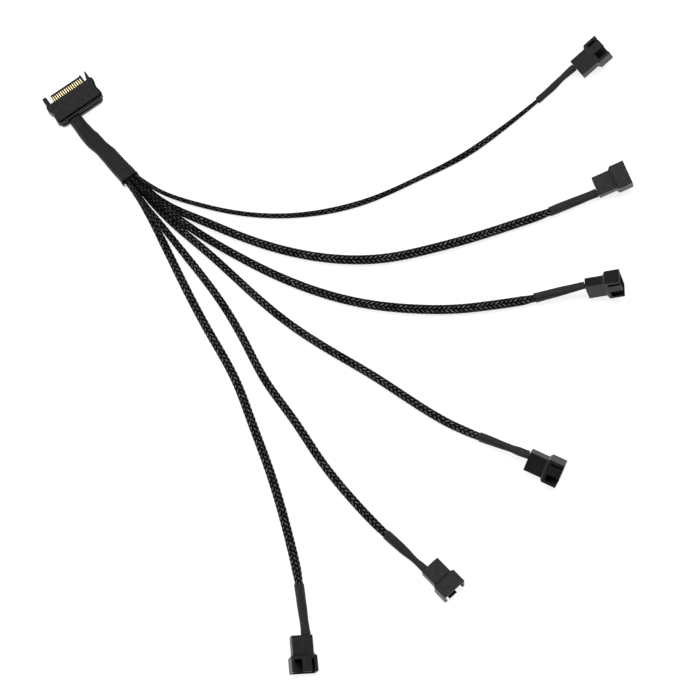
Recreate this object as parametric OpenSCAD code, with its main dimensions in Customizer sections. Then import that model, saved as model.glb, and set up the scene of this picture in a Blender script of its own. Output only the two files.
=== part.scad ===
// Power adapter cable for computer fans: one 15-contact power plug, a trunk in
// heat-shrink tubing, and six braided leads, each with a keyed four-way fan plug.
// Millimetres. The cable lies on a bench: X and Y along the bench, +Z up, the
// bench at z = 0, and the origin under the middle of the whole lay.

/* [Power plug] */
// Width over the front side lobes of the plug body
plug_w = 30.2; // [29.6:0.1:30.8]
// Thickness of the plug body
plug_t = 7; // [6.8:0.1:7.6]
// Depth of the plug body behind its front face
plug_depth = 11.4; // [11:0.1:11.8]
// Height of the contact face above the bench
tongue_z = 4.45; // [4.3:0.05:4.6]
// Thickness of the tongue under the contacts
tongue_t = 1.55; // [1.4:0.05:1.7]
// Number of contacts on the tongue
contact_count = 15; // [3:3:15]
// Distance between neighbouring contacts
contact_pitch = 1.27; // [1.2:0.01:1.27]
// Width of one contact blade
contact_w = 0.84; // [0.6:0.02:0.9]
// Thickness of one contact blade
contact_t = 0.15; // [0.1:0.01:0.18]
// Diameter of the supply wires inside the plug and the trunk
supply_wire_d = 1.5; // [1:0.1:1.5]

/* [Trunk] */
// Wall of the heat-shrink tubing on the trunk
trunk_wall = 0.35; // [0.2:0.05:0.35]
// Number of sides of the trunk tubing
trunk_sides = 24; // [20:2:32]

/* [Fan plugs] */
// Length of the rear body of a fan plug
body_l = 9.7; // [9.2:0.1:10.2]
// Width of the rear body
body_w = 11.1; // [10.8:0.1:11.3]
// Thickness of the rear body
body_t = 5.8; // [5.6:0.1:6.2]
// Whole length of a fan plug
plug_l = 19.1; // [18.7:0.1:20]
// Width of the shroud round the pins
shroud_w = 13.8; // [13.6:0.1:14.2]
// Thickness of the shroud
shroud_t = 8.6; // [8.2:0.1:8.8]
// Length of the 45 degree shoulders of the shroud
shoulder = 1.35; // [1.1:0.05:1.6]
// Distance between neighbouring pins
pin_pitch = 2.54; // [2.5:0.01:2.54]
// Side of one square pin
pin_w = 0.64; // [0.5:0.02:0.66]
// How far the pin tips sit inside the mouth
pin_recess = 1.4; // [1:0.1:2]
// Length of the two keying slots in the shroud
slot_l = 6.7; // [5:0.1:7]

/* [Leads] */
// Diameter of the insulated wires that enter the fan plugs
wire_d = 0.84; // [0.6:0.02:0.86]
// Number of sides of the lead tubes
tube_sides = 8; // [8:1:12]

/* [Hidden] */
$fn = 48;
eps = 0.02;

// ---- where the power plug lies -------------------------------------------
// Middle of the contact row, and the turn of the row from +X.
plug_at = [-147.2, 143.3, 0];
plug_turn = 36;
body_x = -0.4;                     // middle of the body from that of the row
front_y = -2.7;                    // front face of the plug body
rear_y = front_y - plug_depth;     // rear face of the plug body
cap_gap = 0.3;                     // seam between the body and the rear cap
cap_y = rear_y - 2.2;              // rear face of the cap
exit_x = -6.1;                     // the wires leave left of the middle
exit_z = 3.5;
exit_r = 2.4;
row_half = (contact_count - 1) / 2;

// ---- the trunk: x, y, half width, half height, squareness -----------------
trunk_z = 3.4;
trunk = [
  [-142.3, 126.4, 3.6, 3.3, 2.2],
  [-140.0, 123.4, 3.6, 3.3, 2.2],
  [-136.2, 118.6, 4.05, 3.35, 2.2],
  [-131.9, 114.0, 4.4, 3.35, 2.4],
  [-126.6, 109.0, 4.15, 3.3, 2.6],
  [-121.3, 103.4, 4.55, 3.3, 3],
  [-116.8, 98.3, 4.7, 3.35, 4.5],
  [-113.6, 95.0, 4.8, 3.4, 5],
  [-111.6, 92.6, 4.85, 3.4, 5]];

// ---- routes of the six leads: x, y, z, radius -----------------------------
// Each route starts inside the mouth of the trunk. Its last two rings are on
// the axis of the boot, and follow from the boot's place.
routes = [
  [[-112.5, 97.9, 4.6, 1.1], [-109.2, 94.8, 4.5, 1.1],
   [-103.3, 90.3, 4.3, 1.15], [-95.5, 85.6, 3.2, 1.2],
   [-80, 80, 1.6, 1.25], [-55, 74, 1.4, 1.3], [-30, 72, 1.4, 1.3],
   [-5, 74.5, 1.4, 1.3], [20, 81.5, 1.4, 1.3], [45, 93, 1.4, 1.3],
   [68, 105, 1.4, 1.3], [90, 120.5, 1.4, 1.3]],
  [[-112.4, 97.9, 1.9, 1.3], [-103.5, 88.3, 1.85, 1.5], [-98, 83, 2, 1.7],
   [-88, 76.3, 2.2, 2], [-72, 69, 2.35, 2.25], [-48, 59, 2.35, 2.25],
   [-24, 51.5, 2.35, 2.25], [1, 47.5, 2.35, 2.25], [27, 48, 2.35, 2.25],
   [53, 53.5, 2.35, 2.25], [76, 60, 2.35, 2.25], [97, 67, 2.35, 2.25]],
  [[-114.4, 96.2, 4.6, 1.3], [-105, 86.7, 4.75, 1.5], [-97, 79.3, 5, 1.7],
   [-88, 72, 4.7, 2], [-77, 64, 3.5, 2.2], [-60, 53.5, 2.4, 2.25],
   [-36, 40.5, 2.35, 2.25], [-11, 30, 2.35, 2.25], [15, 23, 2.35, 2.25],
   [41, 20, 2.35, 2.25], [67, 20, 2.35, 2.25], [88, 22.5, 2.5, 2.25]],
  [[-114.4, 96.2, 1.9, 1.3], [-105.3, 85.9, 1.85, 1.5], [-98, 77.6, 2, 1.7],
   [-86, 66, 2.3, 2.1], [-68, 50.5, 2.35, 2.25], [-47, 31, 2.35, 2.25],
   [-26, 13, 2.35, 2.25], [-3, -2.5, 2.35, 2.25], [21, -17, 2.35, 2.25],
   [45, -33, 2.35, 2.25], [60, -42, 2.4, 2.25]],
  [[-116.4, 94.6, 4.6, 1.3], [-108.2, 84.6, 4.8, 1.45], [-102.2, 76.3, 5.1, 1.6],
   [-96, 68.6, 5.1, 1.8], [-90, 61.2, 4.2, 2], [-79, 47.6, 2.6, 2.2],
   [-64, 28, 2.35, 2.25], [-49, 3.5, 2.35, 2.25], [-37, -19, 2.35, 2.25],
   [-22, -40, 2.35, 2.25], [-7, -62.5, 2.35, 2.25], [10, -83.5, 2.35, 2.25]],
  [[-116.4, 94.6, 1.9, 1.3], [-108, 83.8, 1.85, 1.45], [-103, 75.8, 1.9, 1.6],
   [-98.3, 67.4, 2.05, 1.8], [-92.5, 56.2, 2.25, 2.1], [-80, 31, 2.35, 2.25],
   [-66, 5, 2.35, 2.25], [-53, -18.5, 2.35, 2.25], [-44, -41.5, 2.35, 2.25],
   [-35, -65.5, 2.35, 2.25], [-27, -91, 2.35, 2.25], [-22.5, -108, 2.4, 2.25]]];

// ---- fan plugs: x, y, turn, nose lift, roll, sideways place of the boot ----
plugs = [
  [133, 154.7, 38.7, 17.4, -11.8, 2.35],
  [141.3, 87.2, 21.9, 12, 176.2, 2.75],
  [134.7, 30.4, 5.4, 19, 65.9, 3.25],
  [101.3, -61.9, -25.9, 4.6, 34.9, 2.35],
  [49.4, -117.5, -47, 11.8, 174, 3],
  [-17.3, -153.5, -84.8, 5.3, -13.8, 2.7]];

// ---- boots: x and y of the start, then radius at the start, at the middle,
// at the waist and at the fan plug, and how far the start is off the bench ---
boots = [
  [110.5, 138.3, 1.5, 1.35, 1.3, 1.55, 0.2],
  [116.2, 74, 2.55, 1.95, 1.6, 1.55, 0.1],
  [107, 25.7, 2.55, 2, 1.6, 1.45, 1.1],
  [76.5, -49.5, 2.55, 2, 1.6, 1.5, 0.6],
  [27, -101, 2.55, 2, 1.35, 1.65, 0.1],
  [-18.5, -127, 2.6, 2.3, 2.05, 1.9, 0.1]];
boot_socket = 6;                   // the braid ends this far inside the boot
boot_wall = 0.3;

// ---- small helpers --------------------------------------------------------
function unit(v) = v / norm(v);
function turned(p, roll, lift, turn) =
  let (y1 = cos(roll) * p.y - sin(roll) * p.z,
       z1 = sin(roll) * p.y + cos(roll) * p.z,
       x2 = cos(lift) * p.x - sin(lift) * z1,
       z2 = sin(lift) * p.x + cos(lift) * z1)
  [cos(turn) * x2 - sin(turn) * y1, sin(turn) * x2 + cos(turn) * y1, z2];

// Corners of a fan plug, for the height at which it rests on the bench.
corners = [for (s = [-1, 1], t = [-1, 1])
  each [[0, s * body_w / 2, t * body_t / 2],
        [body_l + shoulder, s * shroud_w / 2, t * shroud_t / 2],
        [plug_l, s * shroud_w / 2, t * shroud_t / 2]]];
function rest_z(i) =
  -min([for (c = corners) turned(c, plugs[i][4], plugs[i][3], 0).z]);
function in_fan(i, p) =
  [plugs[i][0], plugs[i][1], rest_z(i)]
  + turned(p, plugs[i][4], plugs[i][3], plugs[i][2]);

function boot_start(i) = [boots[i][0], boots[i][1], boots[i][2] + boots[i][6]];
function boot_end(i) = in_fan(i, [-0.6, plugs[i][5], 0]);
function boot_dir(i) = unit(boot_end(i) - boot_start(i));
function boot_len(i) = norm(boot_end(i) - boot_start(i));
function in_boot(i, p) =
  let (d = boot_dir(i), s = unit(cross([0, 0, 1], d)), u = cross(d, s))
  boot_start(i) + p.x * d + p.y * s + p.z * u;

function in_power(p) =
  plug_at + [cos(plug_turn) * p.x - sin(plug_turn) * p.y,
             sin(plug_turn) * p.x + cos(plug_turn) * p.y, p.z];

// One ring of a tube at c, square to t: a half width, b half height, and an
// exponent e that makes it rounder or squarer.
function ring(c, t, a, b, n, e = 2) =
  let (s = unit(cross(t, [0, 0, 1])), u = cross(s, unit(t)))
  [for (k = [0:n - 1])
    let (w = 360 * (k + 0.5) / n, cw = cos(w), sw = sin(w))
    c + s * a * sign(cw) * pow(abs(cw), 2 / e)
      + u * b * sign(sw) * pow(abs(sw), 2 / e)];
function tangent(p, i) =
  p[min(i + 1, len(p) - 1)] - p[max(i - 1, 0)];
function xyz(list) = [for (q = list) [q[0], q[1], q[2]]];

// Closed tube through the points p with the radii r.
module tube(p, r, n) {
  m = len(p);
  pts = [for (i = [0:m - 1]) each ring(p[i], tangent(p, i), r[i], r[i], n)];
  polyhedron(pts, concat(
    [[for (k = [n - 1:-1:0]) k]],
    [[for (k = [0:n - 1]) (m - 1) * n + k]],
    [for (i = [0:m - 2], k = [0:n - 1]) let (j = (k + 1) % n)
      [i * n + k, i * n + j, (i + 1) * n + k]],
    [for (i = [0:m - 2], k = [0:n - 1]) let (j = (k + 1) % n)
      [i * n + j, (i + 1) * n + j, (i + 1) * n + k]]), convexity = 6);
}

// Hollow tube with open ends: q holds x, y, half width, half height, exponent.
module shell(q, z, wall, n) {
  m = len(q);
  c = [for (v = q) [v[0], v[1], z]];
  out = [for (i = [0:m - 1])
    each ring(c[i], tangent(c, i), q[i][2], q[i][3], n, q[i][4])];
  inn = [for (i = [0:m - 1])
    each ring(c[i], tangent(c, i), q[i][2] - wall, q[i][3] - wall, n, q[i][4])];
  o = m * n;
  polyhedron(concat(out, inn), concat(
    [for (i = [0:m - 2], k = [0:n - 1]) let (j = (k + 1) % n)
      each [[i * n + k, i * n + j, (i + 1) * n + k],
            [i * n + j, (i + 1) * n + j, (i + 1) * n + k],
            [o + i * n + k, o + (i + 1) * n + k, o + i * n + j],
            [o + i * n + j, o + (i + 1) * n + k, o + (i + 1) * n + j]]],
    [for (k = [0:n - 1]) let (j = (k + 1) % n, e = (m - 1) * n)
      each [[k, o + k, j], [j, o + k, o + j],
            [e + k, e + j, o + e + k], [e + j, o + e + j, o + e + k]]]),
    convexity = 10);
}

// ---- power plug -----------------------------------------------------------
module at_power() translate(plug_at) rotate([0, 0, plug_turn]) children();

// Outline of one side of the body: guide lobe, waist and rear lobe.
function side_outline() =
  let (w = plug_w / 2)
  [[0, front_y], [w - 1.4, front_y], [w - 1, front_y + 0.2],
   [w - 0.4, front_y - 0.1], [w - 0.05, front_y - 0.7], [w, front_y - 1.4],
   [w - 0.05, front_y - 2.6], [w - 0.3, front_y - 3.7],
   [w - 0.8, front_y - 4.8], [w - 1.4, front_y - 5.6],
   [w - 1.5, front_y - 6.2], [w - 1.1, front_y - 7.1],
   [w - 0.7, front_y - 8.2], [w - 0.55, front_y - 9.5],
   [w - 0.6, rear_y + 0.8], [w - 0.9, rear_y], [0, rear_y]];

module plug_housing() {
  w = plug_w / 2;
  color([0.16, 0.16, 0.17]) at_power() difference() {
    union() {
      translate([body_x, 0, 0]) {
        for (m = [0, 1]) mirror([m, 0, 0])
          linear_extrude(plug_t) polygon(side_outline());
        // guide arms: a pointed one by the key, a blunt one at the other end
        translate([0, 0, 0.9]) linear_extrude(plug_t - 1.8)
          polygon([[w - 3.4, front_y - 1], [w - 3.4, front_y],
            [w - 2.7, front_y + 2], [w - 1.9, front_y + 4.4],
            [w - 1.4, front_y + 5.1], [w - 1, front_y + 5],
            [w - 1, front_y - 1]]);
        translate([0, 0, 0.9]) linear_extrude(plug_t - 1.8)
          polygon([[-w + 3.4, front_y - 1], [-w + 3.4, front_y + 4.9],
            [-w + 3.1, front_y + 5.2], [-w + 1.3, front_y + 5.2],
            [-w + 1, front_y + 4.9], [-w + 1, front_y - 1]]);
      }
      // tongue that carries the contacts
      translate([-9.6, front_y - 1, tongue_z - tongue_t])
        cube([20, 6, tongue_t]);
      // raised key at one end of the tongue
      translate([9.5, front_y - 1, tongue_z - tongue_t])
        cube([0.9, 6, tongue_t + 1]);
    }
    // chamber for the wires and the contact tails, open at the rear
    translate([body_x - 12.4, rear_y - 1, 1.1])
      cube([24.8, plug_depth - 2, 4.8]);
    // passages of the contacts through the front wall
    for (i = [0:contact_count - 1])
      translate([(i - row_half) * contact_pitch - contact_w / 2 - 0.03,
                 front_y - 3.2, tongue_z])
        cube([contact_w + 0.06, 3.3, contact_t + 0.05]);
  }
}

module power_contacts() {
  color([0.9, 0.78, 0.45]) at_power()
    for (i = [0:contact_count - 1])
      translate([(i - row_half) * contact_pitch - contact_w / 2,
                 front_y - 6.4, tongue_z])
        cube([contact_w, 10.6, contact_t]);
}

// Flange of the cap, with rounded rear corners.
function cap_outline() =
  let (h = [[13.6, rear_y - cap_gap], [13.5, cap_y + 1.3], [12.9, cap_y + 0.6],
            [11.9, cap_y + 0.18], [10.7, cap_y]])
  concat([for (q = h) [-q.x, q.y]],
         [for (k = [len(h) - 1:-1:0]) h[k]]);

module plug_rear_cap() {
  color([0.14, 0.14, 0.15]) at_power() difference() {
    translate([body_x, 0, 0]) union() {
      translate([0, 0, 0.3]) linear_extrude(plug_t - 1.1)
        polygon(cap_outline());
      // neck in the seam
      translate([-12.8, rear_y - cap_gap - eps, 0.9])
        cube([25.6, cap_gap + eps, 4.6]);
      // spigot that fits the chamber
      translate([-12.3, rear_y - eps, 1.2]) cube([24.6, 1.5, 4.6]);
    }
    // groove along the rear face, and the upper part set back a little
    translate([-16, cap_y - 1, 3.5]) cube([32, 1.6, 1.3]);
    translate([-16, cap_y - 1, 4.7]) cube([32, 1.45, 3]);
    translate([exit_x, rear_y + 2, exit_z]) rotate([90, 0, 0])
      cylinder(h = 6, r = exit_r);
    translate([-11, rear_y - eps * 2, 1.8]) cube([22, 2, 3.3]);
  }
}

// Supply wires: from under the contact tails, out of the cap and along the
// trunk to the ends of the braids. Each list is in the plug's own frame.
supply_starts = [
  [[-7.62, -8, 3.6], [-7.4, -10, 3.6], [-6.95, -12.8, 4.35]],
  [[-3.81, -8, 3.6], [-4.2, -10, 3.6], [-5.25, -12.8, 4.35]],
  [[3.81, -8, 3.6], [2.5, -10.2, 3.6], [-2.2, -11.2, 3.6], [-4.4, -12.8, 2.65],
   [-5.25, -14, 2.65]],
  [[7.62, -8, 3.6], [5, -10.4, 1.95], [-4.6, -10.8, 1.95], [-6.6, -12, 2.3],
   [-6.95, -13.4, 2.65]]];
supply_sides = [[0.85, 0.85], [-0.85, 0.85], [-0.85, -0.85], [0.85, -0.85]];
module supply_wires() {
  c = [for (v = trunk) [v[0], v[1], exit_z - 0.1]];
  color([0.2, 0.2, 0.2]) for (w = [0:3]) {
    side = supply_sides[w];
    p = concat([for (q = supply_starts[w]) in_power(q)],
      [for (i = [0:6]) let (s = unit(cross(tangent(c, i), [0, 0, 1])))
        c[i] + s * side[0] + [0, 0, side[1]]]);
    tube(p, [for (q = p) supply_wire_d / 2], 8);
  }
}

module trunk_tubing() {
  color([0.18, 0.18, 0.18]) shell(trunk, trunk_z, trunk_wall, trunk_sides);
}

// ---- leads ----------------------------------------------------------------
module lead_braid(i) {
  q = routes[i];
  r_in = boots[i][2] - boot_wall - 0.04;
  p = concat(xyz(q), [in_boot(i, [-3, 0, 0]), in_boot(i, [boot_socket, 0, 0])]);
  color([0.06, 0.06, 0.07])
    tube(p, concat([for (v = q) v[3]], [r_in, r_in]), tube_sides);
}

// Tapered heat-shrink boot: outer and inner profile, radius against length.
module lead_boot(i) {
  b = boots[i];
  l = boot_len(i);
  d = boot_dir(i);
  w = boot_wall;
  color([0.2, 0.2, 0.2]) translate(boot_start(i))
    rotate([0, -asin(d.z), atan2(d.y, d.x)]) rotate([0, 90, 0])
      rotate_extrude() polygon([
        [b[2] - w, 0], [b[2], 0], [b[2] * 0.98, 6], [b[3], 13], [b[4], 20],
        [b[5], l - 1.5], [b[5], l],
        [b[5] - w, l], [b[5] - w, l - 1.5], [b[4] - w, 20], [b[3] - w, 13],
        [min(b[3] - w + 0.1, b[2] - w - 0.2), boot_socket],
        [b[2] - w, boot_socket]]);
}

// Two insulated wires: along the boot, then to the first two pin places.
module lead_wires(i) {
  l = boot_len(i);
  h = wire_d / 2 + 0.03;
  f = cos(plugs[i][4]) < 0 ? -1 : 1;
  color([0.1, 0.1, 0.1]) for (k = [0, 1]) {
    m = k == 0 ? 1 : -1;
    y = (1.5 - k) * pin_pitch;
    p = [in_boot(i, [boot_socket + 0.1, f * m * h, 0]),
         in_boot(i, [13, f * m * h, 0]),
         in_boot(i, [l - 4, f * m * h, 0]),
         in_boot(i, [l, f * m * h, 0]),
         in_fan(i, [2.3, y * 0.9 + (plugs[i][5] + m * h) * 0.1, 0]),
         in_fan(i, [3.2, y, 0]),
         in_fan(i, [3.6, y, 0])];
    tube(p, [for (q = p) wire_d / 2], 8);
  }
}

// ---- fan plugs ------------------------------------------------------------
module at_fan(i)
  translate([plugs[i][0], plugs[i][1], rest_z(i)])
    rotate([plugs[i][4], -plugs[i][3], plugs[i][2]]) children();

module fan_plug(i) {
  bw = body_w / 2;
  sw = shroud_w / 2;
  ht = shroud_t / 2;
  bt = body_t / 2;
  floor_x = 11.4;
  color([0.15, 0.15, 0.16]) at_fan(i) difference() {
    union() {
      translate([0, -bw, -bt]) cube([body_l + shoulder, body_w, body_t]);
      // shroud: shoulders in width cut by shoulders in thickness
      intersection() {
        translate([0, 0, -ht]) linear_extrude(shroud_t)
          polygon([[body_l, -bw], [body_l + shoulder, -sw], [plug_l, -sw],
            [plug_l, sw], [body_l + shoulder, sw], [body_l, bw]]);
        translate([0, sw, 0]) rotate([90, 0, 0]) linear_extrude(shroud_w)
          polygon([[body_l, -bt], [body_l + shoulder, -ht], [plug_l, -ht],
            [plug_l, ht], [body_l + shoulder, ht], [body_l, bt]]);
      }
    }
    // socket for the mating plug
    translate([floor_x, -5.8, -3.1]) cube([plug_l, 11.6, 6.2]);
    // keying slots: a narrow one and a wide one, open to the mouth
    translate([plug_l - slot_l, 3.7, 0]) cube([plug_l, 1.5, shroud_t]);
    translate([plug_l - slot_l, -5.4, 0]) cube([plug_l, 4.1, shroud_t]);
    // chamber for the wires at the back
    translate([-1, -5, -2.1]) cube([4.5, 10, 4.2]);
    // passages for the crimps and the pins
    for (k = [0:3]) translate([3, (1.5 - k) * pin_pitch, 0])
      rotate([0, 90, 0]) {
        cylinder(h = 6.2, r = 0.95);
        cylinder(h = 9, r = 0.5);
      }
  }
}

// Pins with their crimp barrels, in the two places that carry wires.
module fan_pins(i) {
  color([0.8, 0.8, 0.78]) at_fan(i) for (k = [0, 1])
    translate([0, (1.5 - k) * pin_pitch, 0]) {
      translate([3.6, 0, 0]) rotate([0, 90, 0]) cylinder(h = 5.4, r = 0.85);
      translate([8.5, -pin_w / 2, -pin_w / 2])
        cube([plug_l - pin_recess - 8.5, pin_w, pin_w]);
    }
}

plug_housing();
plug_rear_cap();
power_contacts();
supply_wires();
trunk_tubing();
lead_braid(0);  // lead_1_braid
lead_braid(1);  // lead_2_braid
lead_braid(2);  // lead_3_braid
lead_braid(3);  // lead_4_braid
lead_braid(4);  // lead_5_braid
lead_braid(5);  // lead_6_braid
lead_boot(0);  // lead_1_boot
lead_boot(1);  // lead_2_boot
lead_boot(2);  // lead_3_boot
lead_boot(3);  // lead_4_boot
lead_boot(4);  // lead_5_boot
lead_boot(5);  // lead_6_boot
lead_wires(0);  // lead_1_wires
lead_wires(1);  // lead_2_wires
lead_wires(2);  // lead_3_wires
lead_wires(3);  // lead_4_wires
lead_wires(4);  // lead_5_wires
lead_wires(5);  // lead_6_wires
fan_plug(0);  // fan_plug_1
fan_plug(1);  // fan_plug_2
fan_plug(2);  // fan_plug_3
fan_plug(3);  // fan_plug_4
fan_plug(4);  // fan_plug_5
fan_plug(5);  // fan_plug_6
fan_pins(0);  // fan_pins_1
fan_pins(1);  // fan_pins_2
fan_pins(2);  // fan_pins_3
fan_pins(3);  // fan_pins_4
fan_pins(4);  // fan_pins_5
fan_pins(5);  // fan_pins_6
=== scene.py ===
import math

import bmesh
import bpy
import numpy as np
from mathutils import Matrix, Vector


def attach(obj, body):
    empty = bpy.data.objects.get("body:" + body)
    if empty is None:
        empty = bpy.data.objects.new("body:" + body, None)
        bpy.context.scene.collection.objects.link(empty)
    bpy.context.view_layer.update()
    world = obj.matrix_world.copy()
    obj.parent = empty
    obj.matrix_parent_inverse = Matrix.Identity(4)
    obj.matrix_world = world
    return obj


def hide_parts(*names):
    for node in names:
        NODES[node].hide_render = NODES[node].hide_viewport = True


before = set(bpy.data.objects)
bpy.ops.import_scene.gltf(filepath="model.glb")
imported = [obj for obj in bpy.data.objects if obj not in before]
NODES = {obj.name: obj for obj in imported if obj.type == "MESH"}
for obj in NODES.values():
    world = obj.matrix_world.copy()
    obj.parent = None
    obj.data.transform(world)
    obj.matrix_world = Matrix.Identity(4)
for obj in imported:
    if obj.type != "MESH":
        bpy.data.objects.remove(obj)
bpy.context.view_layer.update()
MM = 0.001

# ---------------------------------------------------------------- camera
# Looks down on the bench, tilted 12 degrees from straight down.
TILT = math.radians(12)
cam_data = bpy.data.cameras.new("camera")
cam_data.lens = 96.224
cam_data.sensor_width = 36
cam_data.clip_start, cam_data.clip_end = 0.05, 20
camera = bpy.data.objects.new("camera", cam_data)
camera.location = (0.008, -0.002 - math.sin(TILT), math.cos(TILT))
camera.rotation_euler = (TILT, 0, 0)
bpy.context.scene.collection.objects.link(camera)
bpy.context.scene.camera = camera

# ---------------------------------------------------------------- the lay
# The same numbers as in the drawing, in millimetres; every mesh is scaled to
# metres when it is made.
PLUG_AT = np.array([-147.2, 143.3, 0.0])
PLUG_TURN = math.radians(36)
BODY_X, FRONT_Y, REAR_Y, CAP_GAP, CAP_Y = -0.4, -2.7, -14.1, 0.3, -16.3
TRUNK_Z = 3.4
TRUNK = [
    (-142.3, 126.4, 3.6, 3.3, 2.2), (-140.0, 123.4, 3.6, 3.3, 2.2),
    (-136.2, 118.6, 4.05, 3.35, 2.2), (-131.9, 114.0, 4.4, 3.35, 2.4),
    (-126.6, 109.0, 4.15, 3.3, 2.6), (-121.3, 103.4, 4.55, 3.3, 3),
    (-116.8, 98.3, 4.7, 3.35, 4.5), (-113.6, 95.0, 4.8, 3.4, 5),
    (-111.6, 92.6, 4.85, 3.4, 5)]
ROUTES = [
    [(-112.5, 97.9, 4.6, 1.1), (-109.2, 94.8, 4.5, 1.1),
     (-103.3, 90.3, 4.3, 1.15), (-95.5, 85.6, 3.2, 1.2),
     (-80, 80, 1.6, 1.25), (-55, 74, 1.4, 1.3), (-30, 72, 1.4, 1.3),
     (-5, 74.5, 1.4, 1.3), (20, 81.5, 1.4, 1.3), (45, 93, 1.4, 1.3),
     (68, 105, 1.4, 1.3), (90, 120.5, 1.4, 1.3)],
    [(-112.4, 97.9, 1.9, 1.3), (-103.5, 88.3, 1.85, 1.5), (-98, 83, 2, 1.7),
     (-88, 76.3, 2.2, 2), (-72, 69, 2.35, 2.25), (-48, 59, 2.35, 2.25),
     (-24, 51.5, 2.35, 2.25), (1, 47.5, 2.35, 2.25), (27, 48, 2.35, 2.25),
     (53, 53.5, 2.35, 2.25), (76, 60, 2.35, 2.25), (97, 67, 2.35, 2.25)],
    [(-114.4, 96.2, 4.6, 1.3), (-105, 86.7, 4.75, 1.5), (-97, 79.3, 5, 1.7),
     (-88, 72, 4.7, 2), (-77, 64, 3.5, 2.2), (-60, 53.5, 2.4, 2.25),
     (-36, 40.5, 2.35, 2.25), (-11, 30, 2.35, 2.25), (15, 23, 2.35, 2.25),
     (41, 20, 2.35, 2.25), (67, 20, 2.35, 2.25), (88, 22.5, 2.5, 2.25)],
    [(-114.4, 96.2, 1.9, 1.3), (-105.3, 85.9, 1.85, 1.5), (-98, 77.6, 2, 1.7),
     (-86, 66, 2.3, 2.1), (-68, 50.5, 2.35, 2.25), (-47, 31, 2.35, 2.25),
     (-26, 13, 2.35, 2.25), (-3, -2.5, 2.35, 2.25), (21, -17, 2.35, 2.25),
     (45, -33, 2.35, 2.25), (60, -42, 2.4, 2.25)],
    [(-116.4, 94.6, 4.6, 1.3), (-108.2, 84.6, 4.8, 1.45), (-102.2, 76.3, 5.1, 1.6),
     (-96, 68.6, 5.1, 1.8), (-90, 61.2, 4.2, 2), (-79, 47.6, 2.6, 2.2),
     (-64, 28, 2.35, 2.25), (-49, 3.5, 2.35, 2.25), (-37, -19, 2.35, 2.25),
     (-22, -40, 2.35, 2.25), (-7, -62.5, 2.35, 2.25), (10, -83.5, 2.35, 2.25)],
    [(-116.4, 94.6, 1.9, 1.3), (-108, 83.8, 1.85, 1.45), (-103, 75.8, 1.9, 1.6),
     (-98.3, 67.4, 2.05, 1.8), (-92.5, 56.2, 2.25, 2.1), (-80, 31, 2.35, 2.25),
     (-66, 5, 2.35, 2.25), (-53, -18.5, 2.35, 2.25), (-44, -41.5, 2.35, 2.25),
     (-35, -65.5, 2.35, 2.25), (-27, -91, 2.35, 2.25), (-22.5, -108, 2.4, 2.25)]]
# x, y, turn, nose lift, roll, sideways place of the boot
PLUGS = [
    (133, 154.7, 38.7, 17.4, -11.8, 2.35), (141.3, 87.2, 21.9, 12, 176.2, 2.75),
    (134.7, 30.4, 5.4, 19, 65.9, 3.25), (101.3, -61.9, -25.9, 4.6, 34.9, 2.35),
    (49.4, -117.5, -47, 11.8, 174, 3), (-17.3, -153.5, -84.8, 5.3, -13.8, 2.7)]
# x, y of the start, four radii, how far the start is off the bench
BOOTS = [
    (110.5, 138.3, 1.5, 1.35, 1.3, 1.55, .2), (116.2, 74, 2.55, 1.95, 1.6, 1.55, .1),
    (107, 25.7, 2.55, 2, 1.6, 1.45, 1.1), (76.5, -49.5, 2.55, 2, 1.6, 1.5, .6),
    (27, -101, 2.55, 2, 1.35, 1.65, .1), (-18.5, -127, 2.6, 2.3, 2.05, 1.9, .1)]
BOOT_SOCKET, BOOT_WALL = 6.0, 0.3


# how much wider than high each boot is drawn out over its wires: half widths
# added at 0, 6, 12, 18, 22 mm and at the end
BOOT_WIDER = [(0.4, 0.36, 0.5, 0.22, 0.34, 0.36), (0, 0.15, 0.45, 0.6, 0.6, 0.75),
              (0.12, 0.08, 0.28, 0.4, 0.45, 0.35), (-0.04, -0.04, -0.04, 0.05, 0.65, 0.6),
              (0, 0.05, 0.2, 0.1, 0.08, 0.2), (0, 0, 0, -0.05, 0.1, 0.45)]


def boot_side(i, t):
    """How far the middle of a boot lies beside the straight line, at length t."""
    return np.interp(t, [0, 11, 19], [-0.8, -0.7, 0]) if i == 0 else 0 * np.asarray(t, float)


def unit(v):
    v = np.asarray(v, float)
    return v / np.linalg.norm(v)


def rot_fan(i):
    """Rotation matrix of a fan plug: roll, then nose lift, then turn."""
    t, l, r = (math.radians(PLUGS[i][k]) for k in (2, 3, 4))
    rz = np.array([[math.cos(t), -math.sin(t), 0], [math.sin(t), math.cos(t), 0], [0, 0, 1]])
    ry = np.array([[math.cos(l), 0, -math.sin(l)], [0, 1, 0], [math.sin(l), 0, math.cos(l)]])
    rx = np.array([[1, 0, 0], [0, math.cos(r), -math.sin(r)], [0, math.sin(r), math.cos(r)]])
    return rz @ ry @ rx


CORNERS = np.array([p for s in (-1, 1) for t in (-1, 1) for p in (
    (0, s * 5.55, t * 2.9), (11.05, s * 6.9, t * 4.3), (19.1, s * 6.9, t * 4.3))], float)


def fan_origin(i):
    low = (CORNERS @ rot_fan(i).T)[:, 2].min()
    return np.array([PLUGS[i][0], PLUGS[i][1], -low])


def in_fan(i, p):
    return fan_origin(i) + rot_fan(i) @ np.asarray(p, float)


def boot_start(i):
    b = BOOTS[i]
    return np.array([b[0], b[1], b[2] + b[6]])


def boot_axes(i):
    d = in_fan(i, (-0.6, PLUGS[i][5], 0)) - boot_start(i)
    x = unit(d)
    s = unit(np.cross((0, 0, 1), x))
    return x, s, np.cross(x, s), float(np.linalg.norm(d))


def in_boot(i, p):
    x, s, u, _ = boot_axes(i)
    return boot_start(i) + p[0] * x + p[1] * s + p[2] * u


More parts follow.
